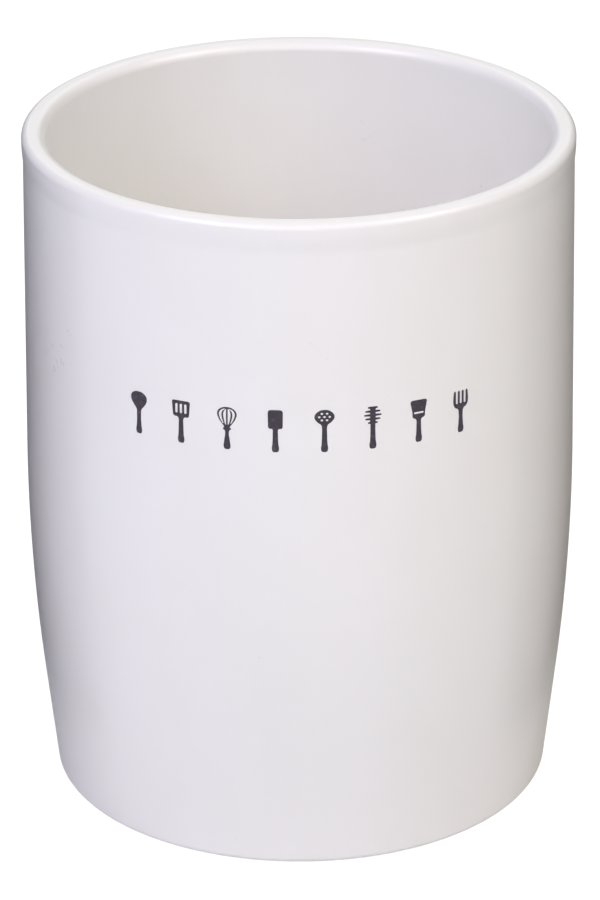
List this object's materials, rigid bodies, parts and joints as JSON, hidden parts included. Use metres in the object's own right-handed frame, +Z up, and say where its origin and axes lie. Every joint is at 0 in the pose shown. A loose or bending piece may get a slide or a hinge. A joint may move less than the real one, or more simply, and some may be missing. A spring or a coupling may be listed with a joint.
{
  "type": "utensil crock",
  "caption": "Round stoneware utensil crock: gently bellied sides, an open mouth with a rolled lip, a white glaze skin inside and out, and a bare foot ring round a hollow base.",
  "frame": {"origin": "the middle of the foot ring, on the surface that the crock stands on", "axes": "+Z up, out of the mouth; -Y is the front, which the picture shows; +X is to the right, seen from the front"},
  "size_m": [0.1321, 0.1322, 0.165],
  "materials": {
    "bare_stoneware": "matte",
    "white_glaze": "gloss",
    "stamp_stain": "satin"
  },
  "bodies": {
    "root": {"stoneware_body": "bare_stoneware", "glaze_coat": "white_glaze", "base_glaze": "white_glaze"}
  },
  "joints": []
}
